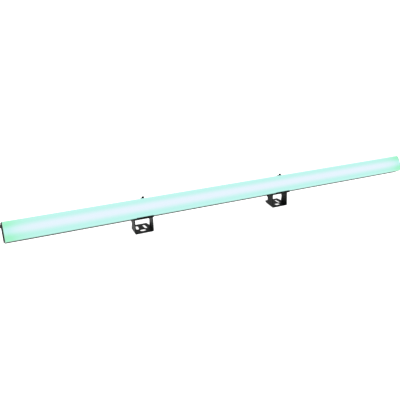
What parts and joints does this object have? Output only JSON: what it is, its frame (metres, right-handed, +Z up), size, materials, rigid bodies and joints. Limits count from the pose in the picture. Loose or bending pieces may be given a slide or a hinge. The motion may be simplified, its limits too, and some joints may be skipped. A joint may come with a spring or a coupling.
{
  "type": "led strip batten",
  "caption": "Slim glowing stage light bar: extruded housing with an opal loaf-shaped diffuser, held by sliding clip saddles hinged to slotted floor yokes.",
  "frame": {"origin": "under the middle of the whole part, at the height of the yokes' undersides", "axes": "+X along the batten from left end to right end seen from the front, +Y from the lit face to the back, +Z up"},
  "size_m": [1.011, 0.0556, 0.0788],
  "materials": {
    "black_anodised": "black anodised, fine extrusion lines",
    "opal_diffuser": "frosted opal, lit from inside",
    "cap_plastic": "moulded, fine texture",
    "black_silicone": "soft matt",
    "milky_silicone": "soft, milky",
    "black_screws": "black oxide",
    "white_board": "white solder mask",
    "led_package": "white case with a clear gel",
    "thermal_tape": "matt",
    "solder": "bright",
    "zinc_screws": "zinc plated",
    "green_board": "green solder mask",
    "components": "moulded cases",
    "nylon": "natural nylon",
    "socket_metal": "nickel plated",
    "socket_insert": "moulded",
    "contact_metal": "gold flashed",
    "lead_red": "PVC insulation",
    "lead_grey": "PVC insulation",
    "satin_black_steel": "satin black powder coat",
    "knob_plastic": "moulded, fluted"
  },
  "bodies": {
    "batten": {"board_links": "solder", "board_screws": "zinc_screws", "cap_gasket_left": "milky_silicone", "cap_gasket_right": "milky_silicone", "cap_screws_left": "black_screws", "cap_screws_right": "black_screws", "data_leads": "lead_grey", "data_socket_contacts": "contact_metal", "data_socket_insert": "socket_insert", "data_socket_nut": "socket_metal", "data_socket_seal": "black_silicone", "data_socket_shell": "socket_metal", "diffuser": "opal_diffuser", "driver_board": "green_board", "driver_components": "components", "driver_screws": "zinc_screws", "driver_spacers": "nylon", "end_cap_left": "cap_plastic", "end_cap_right": "cap_plastic", "housing": "black_anodised", "led_board_1": "white_board", "led_board_2": "white_board", "led_board_3": "white_board", "led_board_4": "white_board", "led_packages_1": "led_package", "led_packages_2": "led_package", "led_packages_3": "led_package", "led_packages_4": "led_package", "power_leads": "lead_red", "power_socket_contacts": "contact_metal", "power_socket_insert": "socket_insert", "power_socket_nut": "socket_metal", "power_socket_seal": "black_silicone", "power_socket_shell": "socket_metal", "thermal_tape": "thermal_tape"},
    "left_saddle": {"saddle_left": "satin_black_steel", "clamp_nut_left": "zinc_screws"},
    "left_yoke": {"yoke_left": "satin_black_steel", "hinge_screws_left": "black_screws", "hinge_washers_left": "nylon", "hinge_nuts_left": "zinc_screws"},
    "left_clamp": {"clamp_knob_left": "knob_plastic", "clamp_stud_left": "black_screws"},
    "right_saddle": {"saddle_right": "satin_black_steel", "clamp_nut_right": "zinc_screws"},
    "right_yoke": {"yoke_right": "satin_black_steel", "hinge_screws_right": "black_screws", "hinge_washers_right": "nylon", "hinge_nuts_right": "zinc_screws"},
    "right_clamp": {"clamp_knob_right": "knob_plastic", "clamp_stud_right": "black_screws"}
  },
  "joints": [
    {"name": "left_bracket_slide", "type": "slide", "parent": "batten", "child": "left_saddle", "axis": [1, 0, 0], "range_m": [-0.25, 0.13]},
    {"name": "left_tilt", "type": "hinge", "parent": "left_saddle", "child": "left_yoke", "pos_m": [-0.2236, 0.01112, 0.028], "axis": [1, 0, 0], "range_deg": [0, 80]},
    {"name": "left_clamp_screw", "type": "hinge", "parent": "left_saddle", "child": "left_clamp", "pos_m": [-0.2236, 0.01779, 0.03822], "axis": [0, 0.8192, -0.5736], "range_deg": [0, 720]},
    {"name": "right_bracket_slide", "type": "slide", "parent": "batten", "child": "right_saddle", "axis": [1, 0, 0], "range_m": [-0.133, 0.346]},
    {"name": "right_tilt", "type": "hinge", "parent": "right_saddle", "child": "right_yoke", "pos_m": [0.1201, 0.01112, 0.028], "axis": [1, 0, 0], "range_deg": [0, 80]},
    {"name": "right_clamp_screw", "type": "hinge", "parent": "right_saddle", "child": "right_clamp", "pos_m": [0.1201, 0.01779, 0.03822], "axis": [0, 0.8192, -0.5736], "range_deg": [0, 720]}
  ]
}
